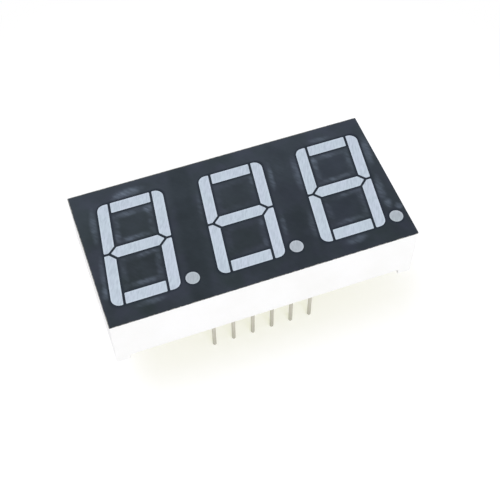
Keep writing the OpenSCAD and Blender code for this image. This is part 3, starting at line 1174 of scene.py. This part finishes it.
@dataclass
class Potting:
    """Resin cast behind the board, which climbs a little at the walls and the pins."""

    nodes: dict[str, bpy.types.Object]
    climb: float = 0.14 * MM
    reach: float = 0.45 * MM
    pin_climb: float = 0.10 * MM
    pin_reach: float = 0.30 * MM
    fade: float = 2.0
    step: float = 0.22 * MM
    fold_deg: float = 50.0

    def _rise(self, place: Vector, low: Vector, high: Vector, pins: Sequence[Vector],
              pin_r: float) -> float:
        """How far the resin's surface climbs at a point.

        Args:
            place: The point.
            low: Lowest corner of the resin.
            high: Highest corner of the resin.
            pins: Middles of the pins.
            pin_r: Their radius.

        Returns:
            The climb in metres.
        """
        wall = min(place.x - low.x, high.x - place.x, place.y - low.y, high.y - place.y)
        nearest = min((place.xy - pin.xy).length for pin in pins) - pin_r
        return (self.climb * math.exp(-max(wall, 0.0) / self.reach * self.fade)
                + self.pin_climb * math.exp(-max(nearest, 0.0) / self.pin_reach * self.fade))

    def build(self) -> None:
        """Models the resin as a slab with a finely divided lower surface, which climbs."""
        low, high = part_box("back_potting")
        size = high - low
        boxes = [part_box(name) for name in self.nodes if name.startswith("pin_")]
        pins = [(a + b) / 2 for a, b in boxes]
        pin_r = (boxes[0][1].x - boxes[0][0].x) / 2
        deselect()
        bpy.ops.mesh.primitive_grid_add(
            x_subdivisions=round(size.x / self.step), y_subdivisions=round(size.y / self.step),
            size=1.0, location=foot(low, high))
        piece = bpy.context.active_object
        piece.name = "resin_backing"
        piece.scale = (size.x, size.y, 1.0)
        settle(piece)
        for point in piece.data.vertices:
            point.co.z -= self._rise(point.co, low, high, pins, pin_r)
        edit_rim(piece)
        bpy.ops.mesh.extrude_edges_move(TRANSFORM_OT_translate={"value": (0, 0, size.z)})
        done()
        for point in piece.data.vertices:
            if point.co.z > low.z + size.z / 2:
                point.co.z = high.z
        edit_rim(piece)
        bpy.ops.mesh.fill()
        close_off(piece, self.fold_deg)
        finish_piece(piece, CastResin().material(), ["back_potting"])


@dataclass(frozen=True)
class Lamp:
    """A square soft lamp that looks at the object."""

    name: str
    place: Triple
    side: float
    watts: float
    colour: Colour = (1.0, 1.0, 1.0)

    def add(self, target: Vector) -> None:
        """Adds the lamp, aimed at the target."""
        data = bpy.data.lights.new(self.name, "AREA")
        data.size = self.side
        data.energy = self.watts
        data.color = self.colour
        lamp = add_object(self.name, data)
        lamp.location = self.place
        aim = target - Vector(self.place)
        lamp.rotation_euler = aim.to_track_quat("-Z", "Y").to_euler()


@dataclass
class Studio:
    """Camera, lamps, floor and backdrop. The camera was solved from the face's corners in the photo."""

    camera_place: Triple = (-0.02207, -0.06533, 0.11033)
    camera_aim: Triple = (-0.00063, -0.00499, 0.0145)
    camera_roll_deg: float = -0.354
    lens: float = 71.54
    sensor: float = 36.0
    clip_start: float = 0.001
    floor_side: float = 4.0
    ambient: Colour = (1.0, 0.985, 0.93)
    ambient_strength: float = 0.64
    backdrop: Colour = (1.0, 1.0, 1.0)
    backdrop_strength: float = 1.0
    target: Triple = (0.0, 0.0, 0.01)
    lamps: tuple[Lamp, ...] = (
        Lamp("overhead", (-0.17, 0.17, 0.61), 0.45, 1.60, (0.97, 0.985, 1.0)),
        Lamp("front_fill", (0.02, -0.56, 0.30), 0.40, 1.60))

    def _camera(self) -> None:
        """Adds the camera of the photograph."""
        data = bpy.data.cameras.new("camera")
        data.sensor_width = self.sensor
        data.lens = self.lens
        data.clip_start = self.clip_start
        camera = add_object("camera", data)
        place, aim = Vector(self.camera_place), Vector(self.camera_aim)
        turn = (aim - place).to_track_quat("-Z", "Y").to_matrix().to_4x4()
        roll = Matrix.Rotation(math.radians(self.camera_roll_deg), 4, "Z")
        camera.matrix_world = Matrix.Translation(place) @ turn @ roll
        bpy.context.scene.camera = camera

    def _world(self) -> None:
        """Lights the scene softly all round, with a backdrop that shows white."""
        graph = Graph(bpy.data.worlds.new("studio"), "ShaderNodeOutputWorld")
        soft = graph.node("ShaderNodeBackground")
        white = graph.node("ShaderNodeBackground")
        for shader, colour, strength in ((soft, self.ambient, self.ambient_strength),
                                         (white, self.backdrop, self.backdrop_strength)):
            graph.feed(shader.inputs["Color"], colour)
            graph.feed(shader.inputs["Strength"], strength)
        bpy.context.scene.world = graph.end(graph.stack(graph.seen(), soft, white))

    def build(self) -> None:
        """Sets up everything round the object."""
        scene = bpy.context.scene
        scene.view_settings.view_transform = "Standard"
        self._camera()
        self._world()
        for lamp in self.lamps:
            lamp.add(Vector(self.target))
        deselect()
        bpy.ops.mesh.primitive_plane_add(size=self.floor_side, location=(0.0, 0.0, 0.0))
        floor = bpy.context.active_object
        floor.name = "studio_floor"
        settle(floor)
        floor.data.materials.append(StudioPaper().material())


def main() -> None:
    """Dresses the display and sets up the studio."""
    logging.basicConfig(level=logging.INFO, format="%(name)s: %(message)s")
    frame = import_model()
    nodes = frame["nodes"]
    layout = DigitLayout.from_frame(nodes)
    Studio().build()
    Housing(nodes).build()
    Face(nodes, layout).build()
    Electronics(nodes).build()
    PinRows(nodes).build()
    Potting(nodes).build()


if __name__ == "__main__":
    main()
